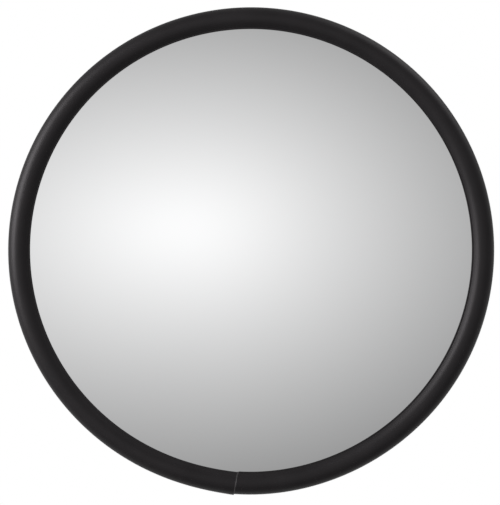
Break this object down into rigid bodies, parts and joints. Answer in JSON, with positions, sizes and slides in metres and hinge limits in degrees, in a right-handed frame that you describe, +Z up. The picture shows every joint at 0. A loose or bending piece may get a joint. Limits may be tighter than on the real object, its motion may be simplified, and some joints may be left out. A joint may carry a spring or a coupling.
{
  "type": "convex security mirror",
  "caption": "Round convex security mirror with black split-tube edging, on a telescoping arm with a ball joint and a swivelling wall bracket.",
  "frame": {"origin": "centre of the wall plate's back face, where it rests on the wall", "axes": "+Y points into the wall, so the mirror looks along -Y; +Z is up; +X is to the right of someone facing the mirror"},
  "size_m": [0.457, 0.3223, 0.457],
  "materials": {
    "mirrored_acrylic": "mirrored on the back of a clear face, slightly waved",
    "vinyl_edging": "black satin soft vinyl with a fine grain",
    "hardboard": "brown pressed fibre, dull",
    "black_steel": "black powder coat, satin",
    "zinc": "bright zinc plate",
    "chrome": "polished",
    "nylon": "natural nylon, matte",
    "fibre": "red vulcanised fibre, matte",
    "brass": "machined",
    "black_plastic": "moulded, fine texture"
  },
  "bodies": {
    "wall_base": {"wall_plate": "black_steel", "pivot_stud": "zinc", "pivot_flat_washer": "zinc", "pivot_lock_nut": "zinc"},
    "swivel": {"swivel_clevis": "black_steel", "pivot_friction_washer": "fibre", "hinge_bolt": "zinc"},
    "hinge_washer": {"hinge_washer": "zinc"},
    "wing_nut": {"wing_nut": "zinc"},
    "arm_outer": {"arm_knuckle": "black_steel", "knuckle_washer_left": "nylon", "knuckle_washer_right": "nylon", "outer_tube": "black_steel", "knuckle_pin": "zinc", "guide_bush": "nylon", "clamp_collar": "black_plastic"},
    "pressure_pad": {"pressure_pad": "brass"},
    "clamp_knob": {"clamp_knob_screw": "zinc", "clamp_knob_head": "black_plastic"},
    "arm_slider": {"tail_bush": "nylon"},
    "arm_inner": {"inner_tube": "chrome", "stud_insert": "brass", "ball_stud": "zinc", "jam_nut": "zinc", "jam_lock_washer": "zinc"},
    "socket_liner": {"socket_liner": "nylon"},
    "mirror_head": {"socket_plate": "zinc", "backing_plate": "zinc", "socket_screw_1": "zinc", "socket_screw_2": "zinc", "socket_screw_3": "zinc", "socket_screw_4": "zinc", "socket_nut_1": "zinc", "socket_nut_2": "zinc", "socket_nut_3": "zinc", "socket_nut_4": "zinc", "back_board": "hardboard", "mirror_lens": "mirrored_acrylic", "edge_trim": "vinyl_edging"}
  },
  "joints": [
    {"name": "wall_swivel", "type": "hinge", "parent": "wall_base", "child": "swivel", "pos_m": [0, 0, 0], "axis": [0, 1, 0], "continuous": true},
    {"name": "arm_fold", "type": "hinge", "parent": "swivel", "child": "arm_outer", "pos_m": [0, -0.036, 0], "axis": [1, 0, 0], "range_deg": [-60, 60]},
    {"name": "washer_travel", "type": "slide", "parent": "swivel", "child": "hinge_washer", "axis": [1, 0, 0], "range_m": [0, 0.0025]},
    {"name": "wing_nut_turn", "type": "hinge", "parent": "hinge_washer", "child": "wing_nut", "pos_m": [0, -0.036, 0], "axis": [1, 0, 0], "range_deg": [0, 724]},
    {"name": "pad_travel", "type": "slide", "parent": "arm_outer", "child": "pressure_pad", "axis": [0, 0, -1], "range_m": [0, 0.002]},
    {"name": "clamp_knob_turn", "type": "hinge", "parent": "pressure_pad", "child": "clamp_knob", "pos_m": [0, -0.188, 0], "axis": [0, 0, -1], "range_deg": [0, 724]},
    {"name": "arm_extend", "type": "slide", "parent": "arm_outer", "child": "arm_slider", "axis": [0, -1, 0], "range_m": [0, 0.09]},
    {"name": "arm_twist", "type": "hinge", "parent": "arm_slider", "child": "arm_inner", "pos_m": [0, -0.262, 0], "axis": [0, 1, 0], "continuous": true},
    {"name": "mirror_tilt", "type": "hinge", "parent": "arm_inner", "child": "socket_liner", "pos_m": [0, -0.262, 0], "axis": [1, 0, 0], "range_deg": [-25, 25]},
    {"name": "mirror_pan", "type": "hinge", "parent": "socket_liner", "child": "mirror_head", "pos_m": [0, -0.262, 0], "axis": [0, 0, 1], "range_deg": [-25, 25]}
  ],
  "couplings": [
    {"joint": "wing_nut_turn", "follows": "washer_travel", "rad_per_m": 5026.5},
    {"joint": "clamp_knob_turn", "follows": "pad_travel", "rad_per_m": 6283.2}
  ]
}
